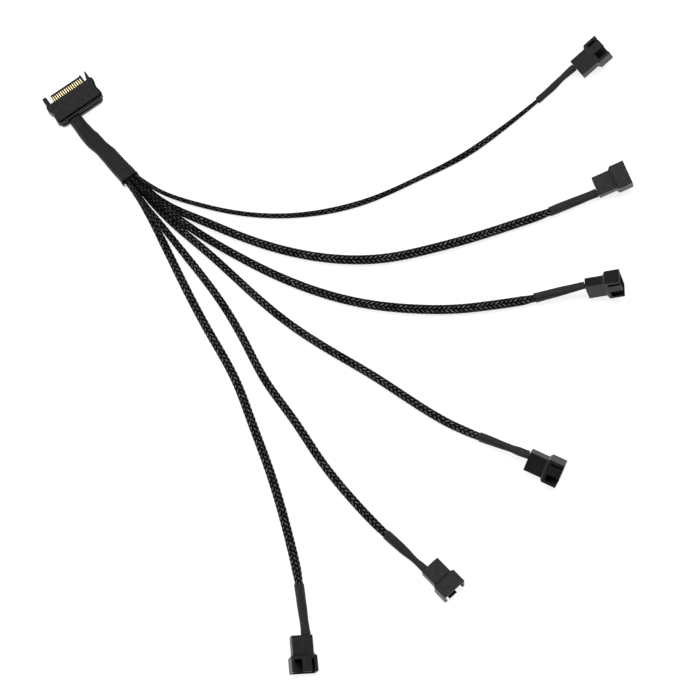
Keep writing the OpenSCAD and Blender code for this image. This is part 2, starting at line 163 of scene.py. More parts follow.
POWER_R = np.array([[math.cos(PLUG_TURN), -math.sin(PLUG_TURN), 0],
                    [math.sin(PLUG_TURN), math.cos(PLUG_TURN), 0], [0, 0, 1]])


def in_power(p):
    return PLUG_AT + POWER_R @ np.asarray(p, float)


# ---------------------------------------------------------------- meshes
def quads_object(name, verts_mm, faces, materials, index=None, smooth=True,
                 attribute=None, sharp=None):
    """Mesh from an array of points in millimetres and an array of quads."""
    v = np.asarray(verts_mm, float) * MM
    q = np.asarray(faces, np.int64)
    me = bpy.data.meshes.new(name)
    me.vertices.add(len(v))
    me.vertices.foreach_set("co", v.ravel())
    me.loops.add(q.size)
    me.loops.foreach_set("vertex_index", q.ravel().astype(np.int32))
    me.polygons.add(len(q))
    me.polygons.foreach_set("loop_start", np.arange(0, q.size, q.shape[1], dtype=np.int32))
    me.update(calc_edges=True)
    me.polygons.foreach_set("use_smooth", np.full(len(q), smooth))
    for m in materials:
        me.materials.append(m)
    if index is not None:
        me.polygons.foreach_set("material_index", np.asarray(index, np.int32))
    if attribute is not None:
        a = me.attributes.new("strand", "FLOAT", "POINT")
        a.data.foreach_set("value", np.asarray(attribute, np.float32))
    me.update()
    if sharp:
        me.set_sharp_from_angle(angle=math.radians(sharp))
    o = bpy.data.objects.new(name, me)
    bpy.context.scene.collection.objects.link(o)
    return o


def bm_object(name, bm, materials, sharp=35, weighted=True):
    """Object from a bmesh in millimetres."""
    bmesh.ops.scale(bm, vec=(MM, MM, MM), verts=bm.verts)
    me = bpy.data.meshes.new(name)
    bmesh.ops.recalc_face_normals(bm, faces=bm.faces)
    bm.to_mesh(me)
    bm.free()
    me.polygons.foreach_set("use_smooth", np.full(len(me.polygons), True))
    me.set_sharp_from_angle(angle=math.radians(sharp))
    for m in materials:
        me.materials.append(m)
    o = bpy.data.objects.new(name, me)
    bpy.context.scene.collection.objects.link(o)
    if weighted:
        w = o.modifiers.new("weighted", "WEIGHTED_NORMAL")
        w.keep_sharp = True
        w.weight = 70
    return o


def add_loft(bm, rings, close=(True, True), material=0):
    """Skins a list of rings of equal length; returns the rows of vertices."""
    rows = [[bm.verts.new(Vector(p)) for p in ring] for ring in rings]
    n = len(rings[0])
    for a, b in zip(rows, rows[1:]):
        for k in range(n):
            j = (k + 1) % n
            f = bm.faces.new((a[k], a[j], b[j], b[k]))
            f.material_index = material
    for end, row in ((0, rows[0][::-1]), (1, rows[-1])):
        if close[end]:
            bm.faces.new(row).material_index = material
    return rows


def offset_outline(pts, d):
    """A closed outline moved inwards by d, mitred at its corners."""
    p = np.asarray(pts, float)
    if d == 0:
        return p
    area = 0.5 * np.sum(p[:, 0] * np.roll(p[:, 1], -1) - np.roll(p[:, 0], -1) * p[:, 1])
    s = 1 if area > 0 else -1
    e = np.roll(p, -1, axis=0) - p
    n = s * np.stack([-e[:, 1], e[:, 0]], axis=1) / np.linalg.norm(e, axis=1)[:, None]
    a, b = np.roll(n, 1, axis=0), n
    return p + d * (a + b) / np.maximum(1 + np.sum(a * b, axis=1), 0.35)[:, None]


def prism(bm, outline, z0, z1, r, seg=3, place=None, material=0, top=None):
    """Upright prism with rounded top and bottom edges."""
    rings = []
    rt = r if top is None else top
    for k in range(seg + 1):
        a = math.pi / 2 * k / seg
        q = offset_outline(outline, r * (1 - math.sin(a)))
        rings.append([(x, y, z0 + r * (1 - math.cos(a))) for x, y in q])
    for k in range(seg + 1):
        a = math.pi / 2 * (1 - k / seg)
        q = offset_outline(outline, rt * (1 - math.sin(a)))
        rings.append([(x, y, z1 - rt * (1 - math.cos(a))) for x, y in q])
    if place is not None:
        rings = [[place(p) for p in ring] for ring in rings]
    return add_loft(bm, rings, material=material)


def round_rect(hy, hz, r, seg=3):
    """Corners of a rounded rectangle, anticlockwise, as (y, z)."""
    out = []
    for cy, cz, a0 in ((1, 1, 0), (-1, 1, 90), (-1, -1, 180), (1, -1, 270)):
        for k in range(seg + 1):
            a = math.radians(a0 + 90 * k / seg)
            out.append((cy * (hy - r) + r * math.cos(a), cz * (hz - r) + r * math.sin(a)))
    return out


def smooth_line(x, width, step):
    """Moving average over a length, with the ends kept."""
    n = max(1, int(round(width / step / 2)))
    k = np.ones(2 * n + 1) / (2 * n + 1)
    pad = np.concatenate([2 * x[0] - x[1:n + 1][::-1], x, 2 * x[-1] - x[-n - 1:-1][::-1]])
    return np.convolve(pad, k, "valid")


def route(points, step, even=5.0):
    """Natural cubic in plan and an evened line in the other columns, resampled
    at equal steps along its length."""
    p = np.asarray(points, float)
    d = np.linalg.norm(np.diff(p[:, :2], axis=0), axis=1)
    t = np.r_[0, np.cumsum(d)]
    n = len(p)
    a, b = np.zeros((n, n)), np.zeros((n, 2))
    a[0, 0] = a[-1, -1] = 1
    for i in range(1, n - 1):
        a[i, i - 1], a[i, i], a[i, i + 1] = d[i - 1], 2 * (d[i - 1] + d[i]), d[i]
        b[i] = 6 * ((p[i + 1, :2] - p[i, :2]) / d[i] - (p[i, :2] - p[i - 1, :2]) / d[i - 1])
    m = np.linalg.solve(a, b)
    tt = np.linspace(0, t[-1], 6000)
    k = np.clip(np.searchsorted(t, tt, "right") - 1, 0, n - 2)
    h, u, w = d[k][:, None], (t[k + 1] - tt)[:, None], (tt - t[k])[:, None]
    xy = (m[k] * u ** 3 + m[k + 1] * w ** 3) / (6 * h) \
        + (p[k, :2] / h - m[k] * h / 6) * u + (p[k + 1, :2] / h - m[k + 1] * h / 6) * w
    rest = np.stack([smooth_line(np.interp(tt, t, p[:, c]), even, tt[1])
                     for c in range(2, p.shape[1])], axis=1)
    full = np.hstack([xy, rest])
    s = np.r_[0, np.cumsum(np.linalg.norm(np.diff(full[:, :3], axis=0), axis=1))]
    want = np.linspace(0, s[-1], int(s[-1] / step) + 1)
    return want, np.stack([np.interp(want, s, full[:, c]) for c in range(full.shape[1])], axis=1)


def axes_along(c):
    t = np.gradient(c, axis=0)
    t /= np.linalg.norm(t, axis=1)[:, None]
    s = np.cross(t, (0, 0, 1.0))
    s /= np.linalg.norm(s, axis=1)[:, None]
    return t, s, np.cross(s, t)


def tube(centre, radii, sides, squash=None):
    """Points and quads of a tube through centre; radii is one a ring."""
    t, s, u = axes_along(centre)
    w = 2 * math.pi * np.arange(sides) / sides
    a = np.asarray(radii, float)[:, None]
    b = a if squash is None else a * np.asarray(squash)[:, None]
    v = centre[:, None, :] + (a * np.cos(w))[:, :, None] * s[:, None, :] \
        + (b * np.sin(w))[:, :, None] * u[:, None, :]
    n = len(centre)
    i, k = np.meshgrid(np.arange(n - 1), np.arange(sides), indexing="ij")
    j = (k + 1) % sides
    q = np.stack([i * sides + k, i * sides + j, (i + 1) * sides + j, (i + 1) * sides + k], axis=-1)
    return v.reshape(-1, 3), q.reshape(-1, 4)


# ---------------------------------------------------------------- materials
def material(name, base, other, rough, grain=(900, 0.00002), scale=250, metallic=0.0,
             specular=0.5, spread=0.07, fine=None, strand=0.0, coat=0.0):
    """Procedural material: two near colours, uneven roughness, grain bump."""
    m = bpy.data.materials.new(name)
    m.use_nodes = True
    nt = m.node_tree
    nt.nodes.clear()
    out = nt.nodes.new("ShaderNodeOutputMaterial")
    b = nt.nodes.new("ShaderNodeBsdfPrincipled")
    b.inputs["Metallic"].default_value = metallic
    b.inputs["Specular IOR Level"].default_value = specular
    if coat:
        b.inputs["Coat Weight"].default_value = coat
        b.inputs["Coat Roughness"].default_value = 0.2
    nt.links.new(b.outputs["BSDF"], out.inputs["Surface"])
    tc = nt.nodes.new("ShaderNodeTexCoord")
    n1 = nt.nodes.new("ShaderNodeTexNoise")
    n1.inputs["Scale"].default_value = scale
    n1.inputs["Detail"].default_value = 4
    nt.links.new(tc.outputs["Object"], n1.inputs["Vector"])
    mix = nt.nodes.new("ShaderNodeMix")
    mix.data_type = "RGBA"
    mix.inputs[6].default_value = (*base, 1)
    mix.inputs[7].default_value = (*other, 1)
    fac = n1.outputs["Fac"]
    if strand:
        at = nt.nodes.new("ShaderNodeAttribute")
        at.attribute_name = "strand"
        ad = nt.nodes.new("ShaderNodeMath")
        ad.operation = "MULTIPLY_ADD"
        ad.inputs[1].default_value = strand
        nt.links.new(at.outputs["Fac"], ad.inputs[0])
        nt.links.new(n1.outputs["Fac"], ad.inputs[2])
        fac = ad.outputs[0]
    ramp = nt.nodes.new("ShaderNodeMapRange")
    ramp.inputs["From Min"].default_value = 0.32
    ramp.inputs["From Max"].default_value = 0.68
    nt.links.new(fac, ramp.inputs["Value"])
    nt.links.new(ramp.outputs["Result"], mix.inputs[0])
    nt.links.new(mix.outputs[2], b.inputs["Base Color"])
    rr = nt.nodes.new("ShaderNodeMapRange")
    rr.inputs["From Min"].default_value = 0.3
    rr.inputs["From Max"].default_value = 0.7
    rr.inputs["To Min"].default_value = rough - spread
    rr.inputs["To Max"].default_value = rough + spread
    n2 = nt.nodes.new("ShaderNodeTexNoise")
    n2.inputs["Scale"].default_value = scale * 2.3
    n2.inputs["Detail"].default_value = 3
    nt.links.new(tc.outputs["Object"], n2.inputs["Vector"])
    nt.links.new(n2.outputs["Fac"], rr.inputs["Value"])
    nt.links.new(rr.outputs["Result"], b.inputs["Roughness"])
    n3 = nt.nodes.new("ShaderNodeTexNoise")
    n3.inputs["Scale"].default_value = grain[0]
    n3.inputs["Detail"].default_value = 3
    nt.links.new(tc.outputs["Object"], n3.inputs["Vector"])
    bump = nt.nodes.new("ShaderNodeBump")
    bump.inputs["Strength"].default_value = 1.0
    bump.inputs["Distance"].default_value = grain[1]
    nt.links.new(n3.outputs["Fac"], bump.inputs["Height"])
    nt.links.new(bump.outputs["Normal"], b.inputs["Normal"])
    return m


PLASTIC = material("plug_plastic", (0.009, 0.009, 0.010), (0.014, 0.014, 0.015), 0.42,
                   grain=(5200, 0.000012), specular=0.25)
CAP_PLASTIC = material("cap_plastic", (0.008, 0.008, 0.009), (0.013, 0.013, 0.014), 0.38,
                       grain=(5200, 0.00001), specular=0.25)
FAN_PLASTIC = material("fan_plug_plastic", (0.0148, 0.0148, 0.0158), (0.0212, 0.0212, 0.0224),
                       0.4, grain=(4300, 0.000014), specular=0.3)
GOLD = material("contact_gold", (0.95, 0.81, 0.47), (0.88, 0.68, 0.33), 0.32, metallic=1.0,
                grain=(2600, 0.000004), scale=500, spread=0.04)
TIN = material("pin_metal", (0.72, 0.71, 0.68), (0.58, 0.57, 0.55), 0.3, metallic=1.0,
               grain=(3000, 0.000006), scale=500)
WIRE = material("wire_insulation", (0.004, 0.004, 0.0045), (0.008, 0.008, 0.009), 0.38,
                grain=(2000, 0.00001), specular=0.3)
SHRINK = material("shrink_tubing", (0.025, 0.025, 0.025), (0.036, 0.0355, 0.035), 0.6,
                  grain=(2400, 0.00003), scale=180, specular=0.28)
BOOT_SHRINK = material("boot_tubing", (0.037, 0.037, 0.037), (0.05, 0.05, 0.049), 0.55,
                       grain=(2400, 0.00003), scale=180, specular=0.3)


def sleeve_material():
    """Black filaments with light painted into their colour: the crowns of the floats are paler, a painted highlight,
    and glossier;
    the parts that dive under the next strand are near black, painted shade, and dull."""
    m = bpy.data.materials.new("braided_sleeve")
    m.use_nodes = True
    nt = m.node_tree
    nt.nodes.clear()
    link = nt.links.new
    out = nt.nodes.new("ShaderNodeOutputMaterial")
    b = nt.nodes.new("ShaderNodeBsdfPrincipled")
    link(b.outputs["BSDF"], out.inputs["Surface"])
    tc = nt.nodes.new("ShaderNodeTexCoord")
    n1 = nt.nodes.new("ShaderNodeTexNoise")
    n1.inputs["Scale"].default_value = 420
    n1.inputs["Detail"].default_value = 3
    link(tc.outputs["Object"], n1.inputs["Vector"])
    vary = nt.nodes.new("ShaderNodeMapRange")
    for k, v in (("From Min", 0.3), ("From Max", 0.7), ("To Min", 0.55), ("To Max", 1.3)):
        vary.inputs[k].default_value = v
    link(n1.outputs["Fac"], vary.inputs["Value"])
    at = nt.nodes.new("ShaderNodeAttribute")
    at.attribute_name = "strand"
    # the crown amount from the mesh, varied by noise: how much painted highlight each point gets
    painted_light_mask = nt.nodes.new("ShaderNodeMath")
    painted_light_mask.operation = "MULTIPLY"
    painted_light_mask.use_clamp = True
    link(at.outputs["Fac"], painted_light_mask.inputs[0])
    link(vary.outputs["Result"], painted_light_mask.inputs[1])
    mix = nt.nodes.new("ShaderNodeMix")
    mix.data_type = "RGBA"
    # painted light: the near black is painted shade for the dips, the pale grey a painted highlight for the crowns
    mix.inputs[6].default_value = (0.0035, 0.0035, 0.0036, 1)
    mix.inputs[7].default_value = (0.38, 0.38, 0.385, 1)
    link(painted_light_mask.outputs[0], mix.inputs[0])
    link(mix.outputs[2], b.inputs["Base Color"])
    for name, lo, hi in (("Specular IOR Level", 0.05, 1.0), ("Roughness", 0.5, 0.24)):
        r = nt.nodes.new("ShaderNodeMapRange")
        r.inputs["To Min"].default_value = lo
        r.inputs["To Max"].default_value = hi
        link(painted_light_mask.outputs[0], r.inputs["Value"])
        link(r.outputs["Result"], b.inputs[name])
    n3 = nt.nodes.new("ShaderNodeTexNoise")
    n3.inputs["Scale"].default_value = 3600
    n3.inputs["Detail"].default_value = 2
    link(tc.outputs["Object"], n3.inputs["Vector"])
    bump = nt.nodes.new("ShaderNodeBump")
    bump.inputs["Distance"].default_value = 0.000004
    link(n3.outputs["Fac"], bump.inputs["Height"])
    link(bump.outputs["Normal"], b.inputs["Normal"])
    return m


BRAID = sleeve_material()
CORE = material("braid_core", (0.0006, 0.0006, 0.0006), (0.0012, 0.0012, 0.0012), 0.7,
                grain=(1500, 0.00002), specular=0.05)
LINER = material("mouth_liner", (0.0015, 0.0015, 0.0016), (0.004, 0.004, 0.004), 0.4,
                 grain=(2200, 0.00003), scale=300, specular=0.3)

# ---------------------------------------------------------------- the cords
SLEEVE_LAY = 26.5     # length of one strand in one turn round the lead
HAND = 8              # strands in each direction
FILAMENTS = 3
STEP = 0.4
# how much fuller each sleeve lies than its drawn tube: at the trunk, then at
# 15, 30, 60 and 100 per cent of its length
FULLER = [(0.05, 0.08, 0.12, 0.03, 0.12), (0.32, 0.2, 0.24, 0.42, 0.34), (0.25, 0.1, 0.12, 0.36, 0.44),
          (0.06, 0.06, 0.0, 0.1, 0.14), (0.08, 0.0, 0.0, 0.1, 0.2), (0.1, 0.24, 0.14, 0.26, 0.32)]


def strand_wave(c):
    return c * (1.5 - 0.5 * c * c)


def braid(i):
    """Woven sleeve: sixteen flat strands of fine filaments, over two and under
    two, round a dark core."""
    rng = np.random.default_rng(40 + i)
    pts = [tuple(p) for p in ROUTES[i]]
    r_in = BOOTS[i][2] - BOOT_WALL - 0.04
    for x in (-3, BOOT_SOCKET):
        pts.append((*in_boot(i, (x, float(boot_side(i, x)), 0)), r_in))
    s, full = route(pts, STEP)
    c, r = full[:, :3].copy(), full[:, 3].copy()
    fuller = smooth_line(np.interp(s / s[-1], [0, 0.15, 0.3, 0.6, 1], FULLER[i]), 16, STEP)
    fuller *= np.clip((s - 7) / 6, 0, 1) * np.clip((s[-1] - 8 - s) / 5, 0, 1)
    r = r + fuller
    c[:, 2] = np.maximum(c[:, 2], np.minimum(c[:, 2] + fuller, r + 0.03))
    a = r.copy()                       # half width
    if i == 0:                         # the thin lead is flat, and wide in two places
        x = c[:, 0]
        wide = np.interp(x, [-60, -30, 8, 42, 75, 100], [0.03, 0.08, 0.5, 0.1, 0.62, 0.0])
        wide = smooth_line(wide, 24, STEP)
        a = r + wide
        r = r - 0.22 * wide
        c[:, 2] -= 0.22 * wide
    t, side, up = axes_along(c)
    around = math.pi * (3 * (a + r) - np.sqrt((3 * a + r) * (a + 3 * r)))
    pitch = np.sqrt(np.maximum(SLEEVE_LAY ** 2 - around ** 2, 100))
    phi = np.r_[0, np.cumsum(2 * math.pi / pitch[:-1] * np.diff(s))]
    amp = 0.16
    fil = 0.315 if i else 0.27
    count = FILAMENTS if i else 2
    crest = 0.07 if i else 0.06

    def at(v, theta, h):
        """Point at length v and angle theta, h above the middle of the weave."""
        f = lambda q: np.interp(v, s, q)
        aa, bb = f(a), f(r)
        ct, st = np.cos(theta), np.sin(theta)
        nx, ny = bb * ct, aa * st
        nn = np.sqrt(nx * nx + ny * ny)
        px = (aa - amp - crest) * ct + h * nx / nn
        py = (bb - amp - crest) * st + h * ny / nn
        cc = np.stack([f(c[:, k]) for k in range(3)], -1)
        ss = np.stack([f(side[:, k]) for k in range(3)], -1)
        uu = np.stack([f(up[:, k]) for k in range(3)], -1)
        return cc + px[..., None] * ss + py[..., None] * uu

    # the painted highlight on the crowns is weaker on the thin sleeve and at the ends by the trunk, which are pulled
    # tight
    crown_light_scale = np.interp(s, [20, 70], [0.28, 1]) if i else np.full(len(s), 0.45)
    verts, faces, painted_crown_light, mats, base = [], [], [], [], 0
    n = len(s)
    mean_r = (a + r) / 2
    tilt = np.arctan2(2 * math.pi * mean_r, pitch)
    wob = [(rng.uniform(0, 6.3), rng.uniform(9, 17)) for _ in range(4 * HAND)]
    for hand in (1, -1):
        for k in range(HAND):
            w1, w2 = wob[k + (HAND if hand < 0 else 0)], wob[2 * HAND + k]
            theta = 2 * math.pi * k / HAND + hand * phi + 0.035 * np.sin(s / w1[1] + w1[0])
            p = 2 * k + hand * 8 * phi / math.pi
            lift = hand * amp * strand_wave(np.cos(math.pi * (p - 0.5) / 2))
            lift = lift + 0.02 * np.sin(s / w2[1] * 1.7 + w2[0])
            tone = rng.uniform(0.7, 1.15)
            # painted highlight: the top of each float gets a pale colour, and the rest stays near black as painted
            # shade
            crown_highlight = tone * crown_light_scale * np.clip((lift / amp - 0.68) / 0.3, 0, 1)
            for f in range(count):
                o = (f - (count - 1) / 2) * fil
                row = []
                for w, h in ((-fil / 2, -0.01), (0, crest), (fil / 2, -0.01)):
                    x = o + w
                    row.append(at(s - hand * x * np.sin(tilt), theta + x * np.cos(tilt) / mean_r,
                                  lift + h - 0.12 * abs(x / (fil * count / 2)) ** 2))
                v = np.stack(row, axis=1)
                verts.append(v.reshape(-1, 3))
                ii, kk = np.meshgrid(np.arange(n - 1), np.arange(2), indexing="ij")
                q = np.stack([base + ii * 3 + kk, base + ii * 3 + kk + 1,
                              base + (ii + 1) * 3 + kk + 1, base + (ii + 1) * 3 + kk], -1)
                faces.append(q.reshape(-1, 4))
                # painted highlight: the middle filament of each strand gets most of it
                filament_highlight = rng.uniform(0.75, 1.1) * (1 if abs(o) < 0.16 else 0.35)
                painted_crown_light.append(np.repeat(crown_highlight * filament_highlight, 3))
                mats.append(np.zeros(2 * (n - 1)))
                base += 3 * n
    # core, a little inside the lowest strands
    every = slice(0, n, 4)
    cs, ca, cr = c[every], (a - 0.47)[every], (r - 0.47)[every]
    cv, cq = tube(cs, ca, 14, squash=cr / ca)
    verts.append(cv)
    faces.append(cq + base)
    painted_crown_light.append(np.zeros(len(cv)))
    mats.append(np.ones(len(cq)))
    o = quads_object(f"sleeve_{i + 1}", np.vstack(verts), np.vstack(faces), [BRAID, CORE],
                     index=np.concatenate(mats), attribute=np.concatenate(painted_crown_light))
    return o, c, float(s[-1]), a


def wires(i):
    """Two insulated wires from inside the boot to their pins."""
    l = boot_axes(i)[3]
    h = 0.84 / 2 + 0.03
    f = -1 if math.cos(math.radians(PLUGS[i][4])) < 0 else 1
    vs, qs, base = [], [], 0
    for k in (0, 1):
        m = 1 if k == 0 else -1
        y = (1.5 - k) * 2.54
        off = PLUGS[i][5]
        p = [in_boot(i, (x, f * m * h + float(boot_side(i, x)), 0)) for x in (BOOT_SOCKET + 0.1, 13, 18)]
        p += [in_boot(i, (l - 4, f * m * h, 0)), in_boot(i, (l, f * m * h, 0)),
             in_fan(i, (2.3, y * 0.9 + (off + m * h) * 0.1, 0)), in_fan(i, (3.2, y, 0)),
             in_fan(i, (3.6, y, 0))]
        c = rounded_line(np.array(p), 0.35, 0.45)
        v, q = tube(c, np.full(len(c), 0.42), 12)
        vs.append(v)
        qs.append(q + base)
        base += len(v)
    return quads_object(f"fan_wires_{i + 1}", np.vstack(vs), np.vstack(qs), [WIRE])


def rounded_line(p, step, width):
    """A line through p resampled at step, its corners evened over width."""
    d = np.r_[0, np.cumsum(np.linalg.norm(np.diff(p, axis=0), axis=1))]
    n = max(8, int(d[-1] / step))
    t = np.linspace(0, d[-1], n * 3)
    q = np.stack([smooth_line(np.interp(t, d, p[:, k]), width * 2, t[1]) for k in range(3)], 1)
    return q[::3] if (len(q) - 1) % 3 == 0 else np.vstack([q[::3], q[-1:]])


SLEEVES = [braid(i) for i in range(6)]
FAN_WIRES = [wires(i) for i in range(6)]


# ---------------------------------------------------------------- boots
def noise_rows(rng, n, m, smooth_n, smooth_m):
    """Even random field, n along and m round, seeded."""
    z = rng.normal(size=(n, m))
    for _ in range(3):
        kn = np.ones(smooth_n) / smooth_n
        z = np.apply_along_axis(lambda q: np.convolve(np.pad(q, smooth_n, "wrap"), kn, "same")[smooth_n:-smooth_n], 0, z)
        km = np.ones(smooth_m) / smooth_m
        z = np.apply_along_axis(lambda q: np.convolve(np.pad(q, smooth_m, "wrap"), km, "same")[smooth_m:-smooth_m], 1, z)
    return z / (np.abs(z).max() + 1e-9)


def boot(i):
    """Heat-shrink boot: round over the sleeve, then drawn down over the two
    wires, with faint rings where it shrank and rolled edges."""
    rng = np.random.default_rng(7 + i)
    x, side, up, l = boot_axes(i)
    r0, rm, rw, re = BOOTS[i][2:6]
    sides = 36
    last = l + 0.25                    # the tube ends close to the plug
    t = np.concatenate([np.linspace(0, 1.2, 6)[:-1], np.arange(1.2, l - 0.6, 0.42), np.linspace(l - 0.5, last, 6)])
    prof = np.interp(t, [0, 6, 13, 20, l - 1.5, l], [r0, r0 * 0.98, rm, rw, re, re])
    fine_t = np.linspace(0, l, 600)
    fine = smooth_line(np.interp(fine_t, [0, 6, 13, 20, l - 1.5, l],
                                 [r0, r0 * 0.98, rm, rw, re, re]), 4.5, fine_t[1])
    prof = np.interp(t, fine_t, fine)
    # rolled edges
    prof -= 0.12 * np.clip(1 - t / 0.25, 0, 1) ** 2 + 0.1 * np.clip(1 - (last - t) / 0.2, 0, 1) ** 2
    # shrink rings past the end of the sleeve
    ring = np.exp(-((t - 8.5) / 3.2) ** 2) * np.sin(t * 4.1 + i) * 0.035
    w = 2 * math.pi * (np.arange(sides) + 0.5) / sides
    flat = 0.02 + 0.12 * np.clip((t - 7) / 9, 0, 1)
    field = noise_rows(rng, len(t), sides, 7, 5)
    rad = (prof + ring)[:, None] * (1 + flat[:, None] * np.cos(2 * w)[None, :]) \
        + 0.07 * field * np.clip(t / 2, 0, 1)[:, None]
    rad -= (0.05 * flat * prof)[:, None]
    wider = np.interp(fine_t, [0, 6, 12, 18, 22, l], BOOT_WIDER[i])
    wider = np.interp(t, fine_t, smooth_line(wider, 3, fine_t[1]))
    rad += wider[:, None] * np.cos(w)[None, :] ** 2
    # a boot follows the bend of its wires a little
    bow = np.interp(t, fine_t, smooth_line(boot_side(i, fine_t), 4, fine_t[1]))
    c = boot_start(i)[None, :] + t[:, None] * x[None, :] + bow[:, None] * side[None, :]

    def ring_at(cc, rr):
        return cc[:, None, :] + (rr * np.cos(w))[:, :, None] * side + (rr * np.sin(w))[:, :, None] * up
    outer = ring_at(c, rad)
    inner = ring_at(c, np.maximum(rad - BOOT_WALL, 0.35))
    # the cut ends run a little askew
    skew = 0.28 * np.exp(-t / 1.5)[:, None] * np.cos(w - 1.1 * i)[None, :]
    skew += -0.1 * np.exp(-(last - t) / 1.5)[:, None] * np.sin(w + 0.7 * i)[None, :]
    outer = outer + skew[:, :, None] * x
    inner = inner + skew[:, :, None] * x
    n = len(t)
    v = np.vstack([outer.reshape(-1, 3), inner.reshape(-1, 3)])
    o = n * sides
    ii, kk = np.meshgrid(np.arange(n - 1), np.arange(sides), indexing="ij")
    jj = (kk + 1) % sides
    q1 = np.stack([ii * sides + kk, ii * sides + jj, (ii + 1) * sides + jj, (ii + 1) * sides + kk], -1).reshape(-1, 4)
    q2 = q1[:, ::-1] + o
    k = np.arange(sides)
    j = (k + 1) % sides
    q3 = np.stack([k, o + k, o + j, j], -1)
    e = (n - 1) * sides
    q4 = np.stack([e + k, e + j, o + e + j, o + e + k], -1)
    return quads_object(f"boot_{i + 1}", v, np.vstack([q1, q2, q3, q4]), [BOOT_SHRINK], sharp=50)


BOOT_PIECES = [boot(i) for i in range(6)]


# ---------------------------------------------------------------- trunk
def trunk():
    """Heat-shrink trunk over the joints of the wires: lumpy, matt, drawn flat
    over the two layers of leads at the mouth, where it is cut a little askew."""
    rng = np.random.default_rng(3)
    p = np.array([(x, y, TRUNK_Z, hw, hh, e) for x, y, hw, hh, e in TRUNK])
    s, f = route(p, 0.32, even=5)
    c, hw, hh, ex = f[:, :3], f[:, 3], f[:, 4], f[:, 5]
    t, side, up = axes_along(c)
    sides, n, total = 72, len(s), s[-1]
    w = 2 * math.pi * (np.arange(sides) + 0.5) / sides
    cw, sw = np.cos(w), np.sin(w)
    u = np.sign(cw)[None, :] * np.abs(cw)[None, :] ** (2 / ex[:, None]) * hw[:, None]
    v = np.sign(sw)[None, :] * np.abs(sw)[None, :] ** (2 / ex[:, None]) * hh[:, None]
    lump = np.full((n, sides), 0.18)
    # joints under the tubing: place along, angle, height, length, width
    for at, deg, h, ls, ws in ((8.5, 172, 0.12, 1.8, 0.5), (11.5, 75, 0.32, 3.2, 0.6),
                               (14.6, 180, 0.27, 1.9, 0.55), (17.5, 120, 0.26, 3.0, 0.6),
                               (16.5, 15, 0.14, 2.6, 0.5), (21.8, 2, -0.24, 2.0, 0.5),
                               (23.0, 95, -0.3, 3.0, 0.6), (21.8, 178, -0.2, 1.8, 0.5),
                               (27.6, 178, 0.28, 2.2, 0.5), (29, 60, 0.25, 3.0, 0.6),
                               (31, 140, 0.2, 3.0, 0.5), (19.5, -60, 0.2, 3.5, 0.7),
                               (12, -110, 0.25, 3.5, 0.7)):
        dw = np.angle(np.exp(1j * (w - math.radians(deg))))
        lump += h * np.exp(-((s[:, None] - at) / ls) ** 2 - (dw[None, :] / ws) ** 2)
    lump += 0.1 * noise_rows(rng, n, sides, 9, 7)
    # soft ridges over the three upper leads, growing towards the mouth
    grow = np.clip((s - total + 17) / 12, 0, 1)[:, None]
    q = u / hw[:, None]
    lump += grow * 0.16 * np.cos(q * math.pi * 2.9) * (np.abs(sw)[None, :] > 0.25)
    fade = np.clip(s / 1.5, 0.0, 1)[:, None]
    rr = np.sqrt(u * u + v * v)
    k = (rr + lump * fade) / rr
    low = TRUNK_Z - 0.02
    u2, v2 = u * k, np.maximum(v * k, -low)
    # the mouth: cut askew, edge rounded over
    lead = np.clip((s - total + 14) / 14, 0, 1)[:, None] ** 2
    along = -0.05 * u2 * lead
    edge = np.clip(1 - (total - s) / 0.3, 0, 1)[:, None] ** 2 * 0.1
    scale = 1 - edge / rr

    def place(uu, vv, al):
        return c[:, None, :] + uu[:, :, None] * side[:, None, :] + vv[:, :, None] * up[:, None, :] \
            + al[:, :, None] * t[:, None, :]
    outer = place(u2 * scale, v2 * scale, along)
    wall = 0.35
    inner = place(u2 * (1 - wall / rr), v2 * (1 - wall / rr), along)
    o = n * sides
    ii, kk = np.meshgrid(np.arange(n - 1), np.arange(sides), indexing="ij")
    jj = (kk + 1) % sides
    q1 = np.stack([ii * sides + kk, ii * sides + jj, (ii + 1) * sides + jj, (ii + 1) * sides + kk], -1).reshape(-1, 4)
    q2 = q1[:, ::-1] + o
    kx = np.arange(sides)
    jx = (kx + 1) % sides
    e = (n - 1) * sides
    q3 = np.stack([kx, o + kx, o + jx, jx], -1)
    q4 = np.stack([e + kx, e + jx, o + e + jx, o + e + kx], -1)
    verts = [outer.reshape(-1, 3), inner.reshape(-1, 3)]
    faces = [q1, q2, q3, q4]
    index = [np.zeros(len(q1) + len(q2) + len(q3) + len(q4))]
    # dark liner that shows past the mouth at its two sides, turned out a little
    base = 2 * o
    m = 9
    lv = np.zeros((m, sides, 3))
    reach = 2.1 * np.clip((np.abs(cw) - 0.62) / 0.38, 0, 1) ** 0.8
    reach = reach * (0.75 + 0.25 * np.cos(3 * w + 0.6)) * np.where(cw > 0, 1.0, 1.5)
    for a in range(m):
        g = a / (m - 1)
        flare = 0.75 * math.sin(math.pi * min(g * 1.05, 1)) ** 0.8 * np.clip(reach / 2.1, 0, 1)
        scale_l = (rr[-1] - wall - 0.02 + flare) / rr[-1]
        al = along[-1] - 1.2 + (1.2 + reach) * g
        lv[a] = c[-1] + (u2[-1] * scale_l)[:, None] * side[-1] \
            + np.maximum(v2[-1] * scale_l, -low)[:, None] * up[-1] + al[:, None] * t[-1]
    verts.append(lv.reshape(-1, 3))
    li, lk = np.meshgrid(np.arange(m - 1), np.arange(sides), indexing="ij")
    lj = (lk + 1) % sides
    ql = np.stack([li * sides + lk, li * sides + lj, (li + 1) * sides + lj, (li + 1) * sides + lk], -1).reshape(-1, 4)
    faces.append(ql + base)
    index.append(np.ones(len(ql)))
    piece = quads_object("trunk_shrink", np.vstack(verts), np.vstack(faces), [SHRINK, LINER],
                         index=np.concatenate(index), sharp=50)
    return piece


TRUNK_PIECE = trunk()


